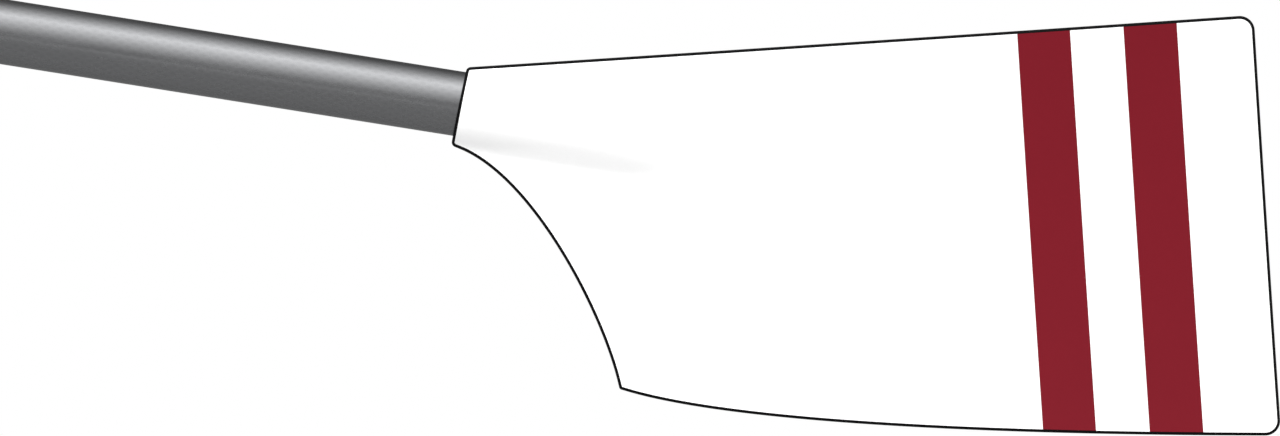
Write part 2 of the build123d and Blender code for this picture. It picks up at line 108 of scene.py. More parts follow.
# --- What the looks add to it, in millimetres ---
# The CAD band is 1.5 wide. It is drawn wider here, inwards only, so that its line looks as dark as the photo's.
EDGE_BAND = 1.9
EDGE_STEP = 3.0
SHEET_STEP = 4.5
NECK_STEP = 2.2
NECK_FINE_LENGTH = 250.0
NECK_FINE_HALF_WIDTH = 46.0
NOSE_STEPS = 5
NOSE_ROUND = 3.2
NOSE_FLAT = 0.05
BARS_U = ((341.7, 374.3), (407.2, 440.0))
BAR_PROUD = 0.12
BAR_SUNK = 0.3
BAR_ALONG = 8
BAR_ACROSS = 60
ROOT_CORNER_STEPS = 6
HEEL_STEPS = 5
TIP_CORNER_STEPS = 14
SLOPE_STEP = 0.2
ON_SURFACE = 0.2
SOCKET_END_GAP = 0.3
SOCKET_SIDE_GAP = 0.02
SOCKET_RUN_OUT = 20.0
# How near the outline the sheet's points may come, as a share of their spacing.
POINT_SPACING = 0.55

# --- What the pieces share: millimetres, degrees and counts, but the weld distances are in metres ---
# Profiles stop this short of the axis, so that no faces collapse there.
AXIS_RADIUS = 0.01
CUT_RUN_OUT = 5.0
SOFT_EDGE_STEPS = 3
WELD = 1e-7
CAD_WELD = 2e-6
FLAT_ANGLE = 0.5
LATHE_ANGLE = 35.0
LATHE_SEGMENTS = 128
TUBE_SEGMENTS = 160
SLEEVE_SEGMENTS = 192
GRIP_SEGMENTS = 96
RIM_ANGLE = 50.0
BAR_ANGLE = 40.0
REST_BEVEL = 0.25
REST_ANGLE = 30.0

ROOT_TOP_Z = SHAFT_RADIUS_AT_BLADE + ROOT_RISE
ROOT_LOW_Z = -SHAFT_RADIUS_AT_BLADE - ROOT_DROP
ROOT_TOP_X = BLADE_ROOT_X + ROOT_TOP_Z * math.tan(math.radians(ROOT_LEAN))
SHAFT_END_X = BLADE_ROOT_X + SOCKET_DEPTH
TILT_COS = math.cos(BLADE_TILT)
TILT_SIN = math.sin(BLADE_TILT)


# --- Mesh helpers ---
def mesh_object(name, points, faces, material, smooth=True):
    """A mesh from points in millimetres."""
    mesh = bpy.data.meshes.new(name)
    mesh.from_pydata([tuple(MM * c for c in p) for p in points], [], [tuple(f) for f in faces])
    mesh.validate()
    mesh.update()
    piece = bpy.data.objects.new(name, mesh)
    bpy.context.scene.collection.objects.link(piece)
    mesh.materials.append(material)
    mesh.polygons.foreach_set("use_smooth", [smooth] * len(mesh.polygons))
    return piece


def fix_normals(piece):
    work = bmesh.new()
    work.from_mesh(piece.data)
    bmesh.ops.remove_doubles(work, verts=work.verts, dist=WELD)
    bmesh.ops.recalc_face_normals(work, faces=work.faces)
    work.to_mesh(piece.data)
    work.free()


def smooth_by_angle(piece, degrees):
    """Smooth shading with hard edges where faces meet at more than an angle."""
    mesh = piece.data
    mesh.polygons.foreach_set("use_smooth", [True] * len(mesh.polygons))
    work = bmesh.new()
    work.from_mesh(mesh)
    limit = math.radians(degrees)
    for edge in work.edges:
        edge.smooth = len(edge.link_faces) == 2 and edge.calc_face_angle(0.0) < limit
    work.to_mesh(mesh)
    work.free()


def lathe(name, profile, material, segments=LATHE_SEGMENTS):
    """A closed outline of (x, radius) points in millimetres turned about the shaft's axis."""
    count = len(profile)
    points = []
    for x, radius in profile:
        for k in range(segments):
            angle = 2 * math.pi * k / segments
            points.append((x, radius * math.cos(angle), radius * math.sin(angle)))
    faces = []
    for i in range(count):
        j = (i + 1) % count
        for k in range(segments):
            n = (k + 1) % segments
            faces.append((i * segments + k, i * segments + n, j * segments + n, j * segments + k))
    piece = mesh_object(name, points, faces, material)
    fix_normals(piece)
    smooth_by_angle(piece, LATHE_ANGLE)
    return piece


def round_corners(profile, radii, steps=5):
    """A closed outline with some of its corners rounded: radii is {corner number: radius}."""
    rounded = []
    count = len(profile)
    for i, corner in enumerate(profile):
        radius = radii.get(i, 0.0)
        if radius == 0.0:
            rounded.append(corner)
            continue
        here = Vector(corner)
        back = (Vector(profile[i - 1]) - here).normalized()
        ahead = (Vector(profile[(i + 1) % count]) - here).normalized()
        half = back.angle(ahead) / 2
        centre = here + (back + ahead).normalized() * (radius / math.sin(half))
        start = here + back * (radius / math.tan(half)) - centre
        end = here + ahead * (radius / math.tan(half)) - centre
        for k in range(steps + 1):
            spoke = start.slerp(end, k / steps)
            rounded.append(tuple(centre + spoke.normalized() * radius))
    return rounded


def refined(node, material):
    """A CAD node's shape with its sharp edges softened."""
    source = frame["nodes"][node]
    piece = bpy.data.objects.new(node + "_finish", source.data.copy())
    bpy.context.scene.collection.objects.link(piece)
    work = bmesh.new()
    work.from_mesh(piece.data)
    bmesh.ops.remove_doubles(work, verts=work.verts, dist=CAD_WELD)
    bmesh.ops.dissolve_limit(
        work,
        angle_limit=math.radians(FLAT_ANGLE),
        use_dissolve_boundaries=False,
        verts=work.verts,
        edges=work.edges,
    )
    work.to_mesh(piece.data)
    work.free()
    piece.data.materials.clear()
    piece.data.materials.append(material)
    soften(piece, REST_BEVEL, REST_ANGLE)
    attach(piece, body_of(source)[0])
    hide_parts(node)
    return piece


def soften(piece, bevel, angle):
    """Round a piece's sharp edges a little."""
    modifier = piece.modifiers.new("Soft edges", "BEVEL")
    modifier.width = bevel * MM
    modifier.segments = SOFT_EDGE_STEPS
    modifier.limit_method = "ANGLE"
    modifier.angle_limit = math.radians(angle)
    apply_modifiers(piece)
    smooth_by_angle(piece, angle)


def apply_modifiers(piece):
    graph = bpy.context.evaluated_depsgraph_get()
    piece.data = bpy.data.meshes.new_from_object(piece.evaluated_get(graph))
    piece.modifiers.clear()


def cut_box(piece, low, high):
    """Cut away a box given by two corners, in millimetres."""
    (x0, y0, z0), (x1, y1, z1) = low, high
    points = [(x, y, z) for x in (x0, x1) for y in (y0, y1) for z in (z0, z1)]
    faces = [(0, 1, 3, 2), (4, 6, 7, 5), (0, 4, 5, 1), (2, 3, 7, 6), (0, 2, 6, 4), (1, 5, 7, 3)]
    cut_with(piece, mesh_object("Cutter", points, faces, piece.data.materials[0], smooth=False))


def cut_with(piece, cutter):
    """Cut another closed shape out of a piece, and remove that shape."""
    fix_normals(cutter)
    modifier = piece.modifiers.new("Cut", "BOOLEAN")
    modifier.operation = "DIFFERENCE"
    modifier.object = cutter
    modifier.solver = "EXACT"
    apply_modifiers(piece)
    bpy.data.objects.remove(cutter)


# --- Material helpers ---
class Nodes:
    """A material's node tree, with short ways to add to it."""

    def __init__(self, name, colour, roughness, metallic=0.0, specular=0.5, coat=0.0, coat_roughness=0.1):
        self.material = bpy.data.materials.new(name)
        self.material.use_nodes = True
        self.tree = self.material.node_tree
        self.shader = self.tree.nodes["Principled BSDF"]
        self.set("Base Color", (*colour, 1.0))
        self.set("Roughness", roughness)
        self.set("Metallic", metallic)
        self.set("Specular IOR Level", specular)
        self.set("Coat Weight", coat)
        self.set("Coat Roughness", coat_roughness)

    def set(self, socket, value):
        self.shader.inputs[socket].default_value = value

    def add(self, kind, **inputs):
        node = self.tree.nodes.new(kind)
        for socket, value in inputs.items():
            self.put(node.inputs[socket.replace("_", " ")], value)
        return node

    def put(self, socket, value):
        if isinstance(value, bpy.types.NodeSocket):
            self.tree.links.new(value, socket)
        else:
            socket.default_value = value

    def place(self, scale=(1, 1, 1)):
        """Where a point is in its object's own coordinates, in metres, scaled."""
        coordinates = self.add("ShaderNodeTexCoord")
        mapping = self.add("ShaderNodeMapping", Vector=coordinates.outputs["Object"], Scale=scale)
        return mapping.outputs["Vector"]

    def noise(self, scale, detail=3.0, roughness=0.55, stretch=(1, 1, 1)):
        node = self.add("ShaderNodeTexNoise", Vector=self.place(stretch), Scale=scale, Detail=detail)
        node.inputs["Roughness"].default_value = roughness
        return node.outputs["Fac"]

    def math(self, operation, first, second=0.0, third=0.0):
        node = self.add("ShaderNodeMath")
        node.operation = operation
        self.put(node.inputs[0], first)
        self.put(node.inputs[1], second)
        self.put(node.inputs[2], third)
        return node.outputs[0]

    def remap(self, value, low, high, to_low, to_high):
        node = self.add("ShaderNodeMapRange")
        self.put(node.inputs["Value"], value)
        self.put(node.inputs["From Min"], low)
        self.put(node.inputs["From Max"], high)
        self.put(node.inputs["To Min"], to_low)
        self.put(node.inputs["To Max"], to_high)
        return node.outputs["Result"]

    def mix(self, share, first, second):
        node = self.add("ShaderNodeMix")
        node.data_type = "RGBA"
        self.put(node.inputs["Factor"], share)
        self.put(node.inputs["A"], first if isinstance(first, bpy.types.NodeSocket) else (*first, 1.0))
        self.put(node.inputs["B"], second if isinstance(second, bpy.types.NodeSocket) else (*second, 1.0))
        return node.outputs["Result"]

    def colour(self, socket):
        self.put(self.shader.inputs["Base Color"], socket)

    def roughness(self, socket):
        self.put(self.shader.inputs["Roughness"], socket)

    def bump(self, height, distance_mm, strength=1.0):
        node = self.add("ShaderNodeBump", Height=height)
        node.inputs["Distance"].default_value = distance_mm * MM
        node.inputs["Strength"].default_value = strength
        previous = self.shader.inputs["Normal"].links
        if previous:
            self.tree.links.new(previous[0].from_socket, node.inputs["Normal"])
        self.put(self.shader.inputs["Normal"], node.outputs["Normal"])


# Noise scales are features per metre, depths are in millimetres, and shares mix two tones.
# Most of a noise's values lie in its middle, which is spread over the range of the finish.
NOISE_MIDDLE = (0.3, 0.7)
PAINT_CLOUD = 9.0
PAINT_SPECK = 420.0
PAINT_SPECK_SHARE = 0.3
PAINT_RUB = 34.0
PAINT_PEEL = 650.0
PAINT_PEEL_DEPTH = 0.02
SCUFF = 70.0
TOW_LAY = 0.35
TOWS_AROUND = 26.0
TOW_DEPTH = 0.015
FIBRE = 240.0
FIBRE_SHARE = 0.4
PEBBLE = 900.0
PEBBLE_DEPTH = 0.12
PEBBLE_GRAIN = 2600.0
PEBBLE_GRAIN_DEPTH = 0.05
GRIME = 26.0
METAL_GRAIN = 900.0
METAL_GRAIN_DEPTH = 0.02
METAL_BLOTCH = 45.0
SHAFT_EDGE_TINT = 0.62


def shade(colour, factor):
    return tuple(min(1.0, c * factor) for c in colour)


def gloss_paint(name, colour, roughness=0.3, wear=0.012, coat=0.35, specular=0.5):
    """Sprayed paint: faint orange peel, a little dust and rubbing."""
    m = Nodes(name, colour, roughness, specular=specular, coat=coat, coat_roughness=0.12)
    cloud = m.noise(PAINT_CLOUD, 4.0)
    speck = m.noise(PAINT_SPECK, 2.0)
    tone = m.math("MULTIPLY_ADD", cloud, 1 - PAINT_SPECK_SHARE, m.math("MULTIPLY", speck, PAINT_SPECK_SHARE))
    m.colour(m.mix(m.remap(tone, 0.35, 0.65, 0.0, 1.0), shade(colour, 1 - 2 * wear), shade(colour, 1 + wear)))
    rub = m.noise(PAINT_RUB, 4.0, 0.5, (0.5, 1, 1))
    m.roughness(m.remap(rub, *NOISE_MIDDLE, roughness - 0.03, roughness + 0.05))
    m.bump(m.noise(PAINT_PEEL, 2.0), PAINT_PEEL_DEPTH, 0.35)
    return m.material


def moulded_plastic(name, colour, roughness, grain_mm=0.6, depth_mm=0.03, specular=0.35, rub=(0.2, 1, 1)):
    """Moulded plastic, rubber or foam: a fine grain, scuffed lighter; rub stretches the scuffs."""
    m = Nodes(name, colour, roughness, specular=specular)
    grain = m.noise(1000.0 / grain_mm, 3.0)
    scuff = m.noise(SCUFF, 6.0, 0.65, rub)
    m.colour(m.mix(m.remap(scuff, 0.45, 0.75, 0.0, 1.0), colour, shade(colour, 1.7)))
    m.roughness(m.remap(scuff, *NOISE_MIDDLE, roughness - 0.08, roughness + 0.1))
    m.bump(grain, depth_mm, 0.5)
    return m.material


def wound_carbon(name, colour, roughness, tow_mm=3.0, contrast=0.06, metallic=0.0, coat=0.2):
    """Carbon tows wound at two angles round the tube, under satin lacquer."""
    m = Nodes(name, colour, roughness, metallic=metallic, coat=coat, coat_roughness=0.28)
    split = m.add("ShaderNodeSeparateXYZ", Vector=m.place())
    x, y, z = (split.outputs[axis] for axis in "XYZ")
    turn = m.math("ARCTAN2", z, y)
    turns_per_metre = TOW_LAY / (tow_mm * MM)
    bands = []
    for side in (1.0, -1.0):
        phase = m.math("MULTIPLY_ADD", x, 2 * math.pi * turns_per_metre, m.math("MULTIPLY", turn, side * TOWS_AROUND))
        bands.append(m.math("MULTIPLY_ADD", m.math("SINE", phase), 0.5, 0.5))
    weave = m.math("MAXIMUM", bands[0], bands[1])
    fibre = m.noise(FIBRE, 4.0, 0.6, (0.12, 1, 1))
    tone = m.math("MULTIPLY_ADD", weave, 1 - FIBRE_SHARE, m.math("MULTIPLY", fibre, FIBRE_SHARE))
    m.colour(m.mix(m.remap(tone, 0.3, 0.8, 0.0, 1.0), shade(colour, 1 - contrast), shade(colour, 1 + contrast)))
    m.roughness(m.remap(fibre, *NOISE_MIDDLE, roughness - 0.04, roughness + 0.05))
    m.bump(weave, TOW_DEPTH, 0.25)
    return m.material


def rubber_grip(name, colour):
    """Soft rubber with a fine pebbled grain."""
    m = Nodes(name, colour, 0.62, specular=0.3)
    cells = m.add("ShaderNodeTexVoronoi", Vector=m.place(), Scale=PEBBLE)
    grime = m.noise(GRIME, 5.0, 0.6)
    m.colour(m.mix(m.remap(grime, 0.4, 0.7, 0.0, 1.0), colour, shade(colour, 1.8)))
    m.roughness(m.remap(grime, *NOISE_MIDDLE, 0.55, 0.74))
    m.bump(cells.outputs["Distance"], PEBBLE_DEPTH, 0.6)
    m.bump(m.noise(PEBBLE_GRAIN, 2.0), PEBBLE_GRAIN_DEPTH, 0.5)
    return m.material


def worn_metal(name, colour, roughness):
    """Blasted or worn metal: a fine grain, with duller and brighter patches."""
    m = Nodes(name, colour, roughness, metallic=1.0)
    brush = m.noise(METAL_GRAIN, 4.0, 0.6)
    blotch = m.noise(METAL_BLOTCH, 4.0)
    m.colour(m.mix(m.remap(blotch, 0.35, 0.7, 0.0, 1.0), shade(colour, 0.85), shade(colour, 1.08)))
    m.roughness(m.remap(brush, *NOISE_MIDDLE, roughness - 0.08, roughness + 0.12))
    m.bump(brush, METAL_GRAIN_DEPTH, 0.4)
    return m.material


WHITE = gloss_paint("White gloss paint", (0.88, 0.88, 0.88))
RED = gloss_paint("Dark red film", (0.138, 0.005, 0.0112), 0.5, 0.02, coat=0.0, specular=0.1)
EDGE = moulded_plastic("Black edge resin", (0.0025, 0.0025, 0.0027), 0.75, 1.2, 0.02, specular=0.06)
SHAFT = wound_carbon("Grey shaft", (0.183, 0.185, 0.19), 0.26, contrast=0.035, metallic=1.0, coat=0.0)
SHAFT.node_tree.nodes["Principled BSDF"].inputs["Specular Tint"].default_value = (*[SHAFT_EDGE_TINT] * 3, 1.0)
CARBON = wound_carbon("Handle carbon", (0.035, 0.035, 0.037), 0.34, contrast=0.18)
SLEEVE = moulded_plastic("Sleeve plastic", (0.013, 0.013, 0.014), 0.36, rub=(1, 0.3, 0.3))
PLATE = moulded_plastic("Wear plate plastic", (0.055, 0.055, 0.057), 0.28, 0.9, 0.015, rub=(1.5, 0.12, 0.12))
BUTTON = moulded_plastic("Button plastic", (0.017, 0.017, 0.018), 0.46)
BUSH = moulded_plastic("Bush plastic", (0.02, 0.02, 0.02), 0.5)
CLAMP = worn_metal("Blasted aluminium", (0.52, 0.52, 0.54), 0.42)
STEEL = worn_metal("Stainless steel", (0.58, 0.57, 0.55), 0.26)
GRIP = rubber_grip("Grip rubber", (0.016, 0.016, 0.017))
CAP = moulded_plastic("Cap rubber", (0.02, 0.02, 0.02), 0.6)
FOAM = moulded_plastic("Plug foam", (0.42, 0.38, 0.3), 0.85, 1.5, 0.2, specular=0.15)


# --- The blade's outline: u runs along the top edge from the root, v down from it ---
def heading(angle):
    return np.array([math.cos(math.radians(angle)), math.sin(math.radians(angle))])


def inward(angle):
    return np.array([math.sin(math.radians(angle)), -math.cos(math.radians(angle))])


def corner_arc(corner, angle_in, angle_out, radius, steps):
    """Points and inward directions round a corner."""
    back = heading(angle_in + 180)
    ahead = heading(angle_out)
    bisector = (back + ahead) / np.linalg.norm(back + ahead)
    half = math.acos(float(np.dot(back, ahead))) / 2
    centre = corner + bisector * (radius / math.sin(half))
    sweep = (angle_out - angle_in + 180) % 360 - 180
    angles = [angle_in + sweep * k / steps for k in range(steps + 1)]
    return [(centre - inward(a) * radius, inward(a)) for a in angles]


def pulled_curve(start, end, angles, pulls):
    """Points and inward directions along a curve that leaves and arrives at two angles."""
    chord = float(np.linalg.norm(end - start))
    first = start + heading(angles[0]) * (chord * pulls[0])
    second = end - heading(angles[1]) * (chord * pulls[1])
    steps = max(4, round(chord / EDGE_STEP))
    samples = []
    for k in range(steps + 1):
        t = k / steps
        s = 1 - t
        point = s**3 * start + 3 * s * s * t * first + 3 * s * t * t * second + t**3 * end
        slope = s * s * (first - start) + 2 * s * t * (second - first) + t * t * (end - second)
        slope = slope / np.linalg.norm(slope)
        samples.append((point, np.array([slope[1], -slope[0]])))
    return samples


def blade_edge():
    """Points along the blade's outline, and which way is inward at each."""
    root_angle = 90 + math.degrees(BLADE_TILT) + ROOT_LEAN
    root_length = (ROOT_TOP_Z - ROOT_LOW_Z) / math.cos(math.radians(ROOT_LEAN))
    top_root = np.array([0.0, 0.0])
    low_root = top_root + heading(root_angle) * root_length
    heel = np.array([HEEL_U, HEEL_V])
    tip_low = np.array([BLADE_LENGTH, BLADE_WIDTH])
    tip_top = np.array([BLADE_LENGTH, 0.0])
    neck = (low_root + heading(NECK_ANGLES[0]) * ROOT_LEAD, heel - heading(NECK_ANGLES[1]) * HEEL_LEAD)
    keel = (heel + heading(KEEL_ANGLES[0]) * HEEL_LEAD, tip_low - heading(KEEL_ANGLES[1]) * KEEL_TAIL)
    parts = [
        corner_arc(top_root, TOP_ANGLE, root_angle, ROOT_CORNER_RADIUS, ROOT_CORNER_STEPS),
        corner_arc(low_root, root_angle, NECK_ANGLES[0], ROOT_CORNER_RADIUS, ROOT_CORNER_STEPS),
        pulled_curve(*neck, NECK_ANGLES, NECK_PULLS),
        corner_arc(heel, NECK_ANGLES[1], KEEL_ANGLES[0], HEEL_RADIUS, HEEL_STEPS),
        pulled_curve(*keel, KEEL_ANGLES, KEEL_PULLS),
        corner_arc(tip_low, KEEL_ANGLES[1], TIP_ANGLE, TIP_CORNER_RADIUS, TIP_CORNER_STEPS),
        corner_arc(tip_top, TIP_ANGLE, TOP_ANGLE, TIP_CORNER_RADIUS, TIP_CORNER_STEPS),
    ]
    samples = []
    for part, following in zip(parts, parts[1:] + parts[:1]):
        samples += part
        start, end = part[-1], following[0]
        steps = max(1, round(float(np.linalg.norm(end[0] - start[0])) / EDGE_STEP))
        for k in range(1, steps):
            samples.append((start[0] + (end[0] - start[0]) * k / steps, start[1]))
    points = np.array([s[0] for s in samples])
    inwards = np.array([s[1] for s in samples])
    return points, inwards


def blade_xz(uv):
    """X and Z, in millimetres, of places given along and down the blade."""
    u, v = np.asarray(uv, float).T
    return ROOT_TOP_X + u * TILT_COS + v * TILT_SIN, ROOT_TOP_Z + u * TILT_SIN - v * TILT_COS


# --- The blade's surfaces: heights towards +Y over the outline's plane ---
def fade(distance, length):
    """Falls smoothly from 1 to 0 over a length."""
    return (1 + np.cos(math.pi * np.clip(distance / length, 0, 1))) / 2


def neck_ridge(x, z, side):
    """Height of the ridge that covers the shaft, sinking into the sheet beyond the shaft's end."""
    left = fade(x - SHAFT_END_X, RIDGE_LENGTHS[side])
    half_width = (SHAFT_RADIUS_AT_BLADE + NECK_SIDE_WALL) * (1 + RIDGE_SPREADS[side] * (1 - left))
    off = np.abs(z - (ROOT_TOP_Z + ROOT_LOW_Z) / 2 * left) / half_width
    height = SHAFT_RADIUS_AT_BLADE + NECK_WALL
    return height * (1 - off**NECK_SHAPE_POWER - NECK_SINK * (1 - left))


def blade_height(x, z, side):
    """Height of the blade's surface: side is -1 for the power face and 1 for the back."""
    ahead = x - ROOT_TOP_X
    above = z - ROOT_TOP_Z
    u = ahead * TILT_COS + above * TILT_SIN
    v = ahead * TILT_SIN - above * TILT_COS
    along = (u - BLADE_BOW_FROM_U) / (BLADE_LENGTH - BLADE_BOW_FROM_U)
    bent = np.maximum(along, 0) ** 2 * BLADE_BOW
    across = (v - BLADE_WIDTH / 2) / (BLADE_WIDTH / 2)
    hollow = 1 - fade(u - BLADE_BOW_FROM_U, BLADE_DISH_FULL_U - BLADE_BOW_FROM_U)
    middle = BLADE_DISH * hollow * (1 - across**2) - bent
    taper = np.clip(along, 0, 1)
    sheet = (BLADE_ROOT_THICKNESS + (BLADE_TIP_THICKNESS - BLADE_ROOT_THICKNESS) * taper) / 2
    ridge = neck_ridge(x, z, side)
    near = np.maximum(NECK_BLEND - np.abs(sheet - ridge), 0)
    return middle + side * (np.maximum(sheet, ridge) + near**2 / (4 * NECK_BLEND))


def blade_normals(x, z, side):
    """Which way the blade's surface faces, outwards from its side."""
    step = SLOPE_STEP
    slope_x = (blade_height(x + step, z, side) - blade_height(x - step, z, side)) / (2 * step)
    slope_z = (blade_height(x, z + step, side) - blade_height(x, z - step, side)) / (2 * step)
    normals = side * np.stack([-slope_x, np.ones_like(slope_x), -slope_z], axis=1)
    return normals / np.linalg.norm(normals, axis=1)[:, None]


def inside_outline(points, outline):
    """Which points lie within a closed outline."""
    inside = np.zeros(len(points), bool)
    for a, b in zip(outline, np.roll(outline, -1, axis=0)):
        crosses = (a[1] > points[:, 1]) != (b[1] > points[:, 1])
        if a[1] != b[1]:
            at = a[0] + (points[:, 1] - a[1]) * (b[0] - a[0]) / (b[1] - a[1])
            inside ^= crosses & (points[:, 0] < at)
    return inside


def sheet_points(outline):
    """Points that fill an outline, closer together over the neck."""
    low, high = outline.min(axis=0), outline.max(axis=0)
    found = []
    for step, fine in ((SHEET_STEP, False), (NECK_STEP, True)):
        u, v = np.meshgrid(np.arange(low[0], high[0], step), np.arange(low[1], high[1], step))
        v = v + (np.round((u - low[0]) / step) % 2) * step / 2
        points = np.stack([u.ravel(), v.ravel()], axis=1)
        points = points[inside_outline(points, outline)]
        x, z = blade_xz(points)
        on_neck = (x < BLADE_ROOT_X + NECK_FINE_LENGTH) & (np.abs(z) < NECK_FINE_HALF_WIDTH)
        points = points[on_neck == fine]
        gap = np.linalg.norm(points[:, None, :] - outline[None, :, :], axis=2).min(axis=1)
        found.append(points[gap > POINT_SPACING * step])
    return np.concatenate(found)


def set_surface_normals(piece):
    """Take the shading of the two broad sides from their formula, so that the gloss is even."""
    mesh = piece.data
    mesh.polygons.foreach_set("use_smooth", [True] * len(mesh.polygons))
    co = np.zeros(len(mesh.vertices) * 3)
    mesh.vertices.foreach_get("co", co)
    co = co.reshape(-1, 3) / MM
    flat = np.zeros(len(mesh.polygons) * 3)
    mesh.polygons.foreach_get("normal", flat)
    flat = flat.reshape(-1, 3)
    sides = {side: (blade_height(co[:, 0], co[:, 2], side), blade_normals(co[:, 0], co[:, 2], side))
             for side in (-1, 1)}
    loops = np.zeros((len(mesh.loops), 3))
    for polygon in mesh.polygons:
        index = list(polygon.vertices)
        rows = flat[polygon.index][None, :].repeat(len(index), axis=0)
        side = 1 if flat[polygon.index][1] > 0 else -1
        heights, normals = sides[side]
        if np.abs(co[index, 1] - heights[index]).max() < ON_SURFACE:
            rows = normals[index]
        loops[polygon.loop_start:polygon.loop_start + polygon.loop_total] = rows
    mesh.normals_split_custom_set([tuple(n) for n in loops])


def cut_socket(piece):
    """Open the blade's root for the shaft."""
    open_x, end_x = BLADE_ROOT_X - SOCKET_RUN_OUT, SHAFT_END_X + SOCKET_END_GAP
    radius = SHAFT_RADIUS_AT_BLADE + SOCKET_SIDE_GAP
    profile = [(open_x, AXIS_RADIUS), (end_x, AXIS_RADIUS), (end_x, radius), (open_x, radius)]
    cut_with(piece, lathe("Socket cutter", profile, EDGE))


def make_shell(edge_points, edge_inwards):
    """The painted blade inside its edge band."""
    outline = edge_points + edge_inwards * EDGE_BAND
    filling = sheet_points(outline)
    flat = [Vector(p) for p in np.concatenate([outline, filling])]
    ring = list(range(len(outline)))
    vertices, _, faces, _, _, _ = delaunay_2d_cdt(flat, [], [ring], 2, 1e-6)
    uv = np.array([tuple(v) for v in vertices])
    x, z = blade_xz(uv)
    count = len(uv)
    front = np.stack([x, blade_height(x, z, -1), z], axis=1)
    back = np.stack([x, blade_height(x, z, 1), z], axis=1)
    triangles = [list(f) for f in faces]
    turned = [[count + i for i in reversed(f)] for f in triangles]
    used = {}
    for f in triangles:
        for a, b in zip(f, f[1:] + f[:1]):
            used[(a, b)] = True
    walls = [[b, a, count + a, count + b] for a, b in used if (b, a) not in used]
    piece = mesh_object("Blade", np.concatenate([front, back]), triangles + turned + walls, WHITE)
    fix_normals(piece)
    cut_socket(piece)
    set_surface_normals(piece)
    return piece


def make_edge(edge_points, edge_inwards):
    """The hard black rim: a rounded nose round the whole outline."""
    count = len(edge_points)
    rings = []
    for side in (-1, 1):
        for k in range(NOSE_STEPS + 1):
            angle = math.pi / 2 * (k / NOSE_STEPS if side > 0 else 1 - k / NOSE_STEPS)
            x, z = blade_xz(edge_points + edge_inwards * (EDGE_BAND * (1 - math.cos(angle))))
            front, back = blade_height(x, z, -1), blade_height(x, z, 1)
            half = (back - front) / 2
            nose = np.minimum(half - NOSE_FLAT, NOSE_ROUND)
            y = (front + back) / 2 + side * (half - nose + nose * math.sin(angle))
            rings.append(np.stack([x, y, z], axis=1))
    points = np.concatenate(rings)
    faces = []
    for k in range(len(rings)):
        following = (k + 1) % len(rings)
        for i in range(count):
            j = (i + 1) % count
            faces.append((k * count + i, k * count + j, following * count + j, following * count + i))
    piece = mesh_object("Blade_edge", points, faces, EDGE)
    fix_normals(piece)
    cut_socket(piece)
    smooth_by_angle(piece, RIM_ANGLE)
    return piece


def low_edge_at(u, outline):
    """How far down the outline's lower edge lies at a place along the blade."""
    found = []
    for a, b in zip(outline, np.roll(outline, -1, axis=0)):
        if min(a[0], b[0]) <= u <= max(a[0], b[0]) and a[0] != b[0]:
            found.append(a[1] + (u - a[0]) * (b[1] - a[1]) / (b[0] - a[0]))
    return max(found)


def make_bar(name, u_range, side, outline):
    """A coloured bar right across one side of the blade, a film's thickness proud of the paint."""
    across, along = BAR_ACROSS, BAR_ALONG
    grid = []
    for i in range(along + 1):
        u = u_range[0] + (u_range[1] - u_range[0]) * i / along
        low = low_edge_at(u, outline)
        for j in range(across + 1):
            grid.append((u, EDGE_BAND + (low - EDGE_BAND) * j / across))
    x, z = blade_xz(np.array(grid))
    surface = np.stack([x, blade_height(x, z, side), z], axis=1)
    normals = blade_normals(x, z, side)
    count = len(surface)
    points = np.concatenate([surface + normals * BAR_PROUD, surface - normals * BAR_SUNK])
    row = across + 1
    top = []
    for i in range(along):
        for j in range(across):
            top.append((i * row + j, i * row + j + 1, (i + 1) * row + j + 1, (i + 1) * row + j))
    under = [tuple(count + k for k in reversed(f)) for f in top]
    rim = list(range(row))
    rim += [i * row + across for i in range(1, along + 1)]
    rim += [along * row + j for j in range(across - 1, -1, -1)]
    rim += [i * row for i in range(along - 1, 0, -1)]
    walls = [(rim[k - 1], rim[k], count + rim[k], count + rim[k - 1]) for k in range(len(rim))]
    piece = mesh_object(name, points, top + under + walls, RED)
    fix_normals(piece)
    smooth_by_angle(piece, BAR_ANGLE)
    return piece


def make_blade():
    edge_points, edge_inwards = blade_edge()
    outline = edge_points + edge_inwards * EDGE_BAND
    shell = make_shell(edge_points, edge_inwards)
    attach(shell, "oar")
    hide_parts("blade_face_skin", "blade_back_skin", "blade_core")
    edge = make_edge(edge_points, edge_inwards)
    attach(edge, "oar")
    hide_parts("blade_edge_band")
    for place, u_range in zip(("inner", "outer"), BARS_U):
        for word, side in (("face", -1), ("back", 1)):
            bar = make_bar(f"Bar_{place}_{word}", u_range, side, outline)
            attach(bar, "oar")


# --- The shaft ---
SHAFT_MOUTH_X = -500.0
SHAFT_RADIUS = 23.0
SHAFT_WALL = 1.8
SHAFT_TAPER_X = (300.0, 1650.0)
MOUTH_SLOT = (40.0, 2.0)
SLOT_CUT_REACH = 30.0


def make_shaft():
    outside = [(SHAFT_MOUTH_X, SHAFT_RADIUS), (SHAFT_TAPER_X[0], SHAFT_RADIUS),
               (SHAFT_TAPER_X[1], SHAFT_RADIUS_AT_BLADE), (SHAFT_END_X, SHAFT_RADIUS_AT_BLADE)]
    bore = [(x, r - SHAFT_WALL) for x, r in reversed(outside)]
    shaft = lathe("Shaft", outside + bore, SHAFT, TUBE_SEGMENTS)
    slot_end_x = SHAFT_MOUTH_X + MOUTH_SLOT[0]
    half = MOUTH_SLOT[1] / 2
    cut_box(shaft, (SHAFT_MOUTH_X - CUT_RUN_OUT, -SLOT_CUT_REACH, -half), (slot_end_x, SLOT_CUT_REACH, half))
    smooth_by_angle(shaft, LATHE_ANGLE)
    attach(shaft, "oar")
    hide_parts("shaft_tube")


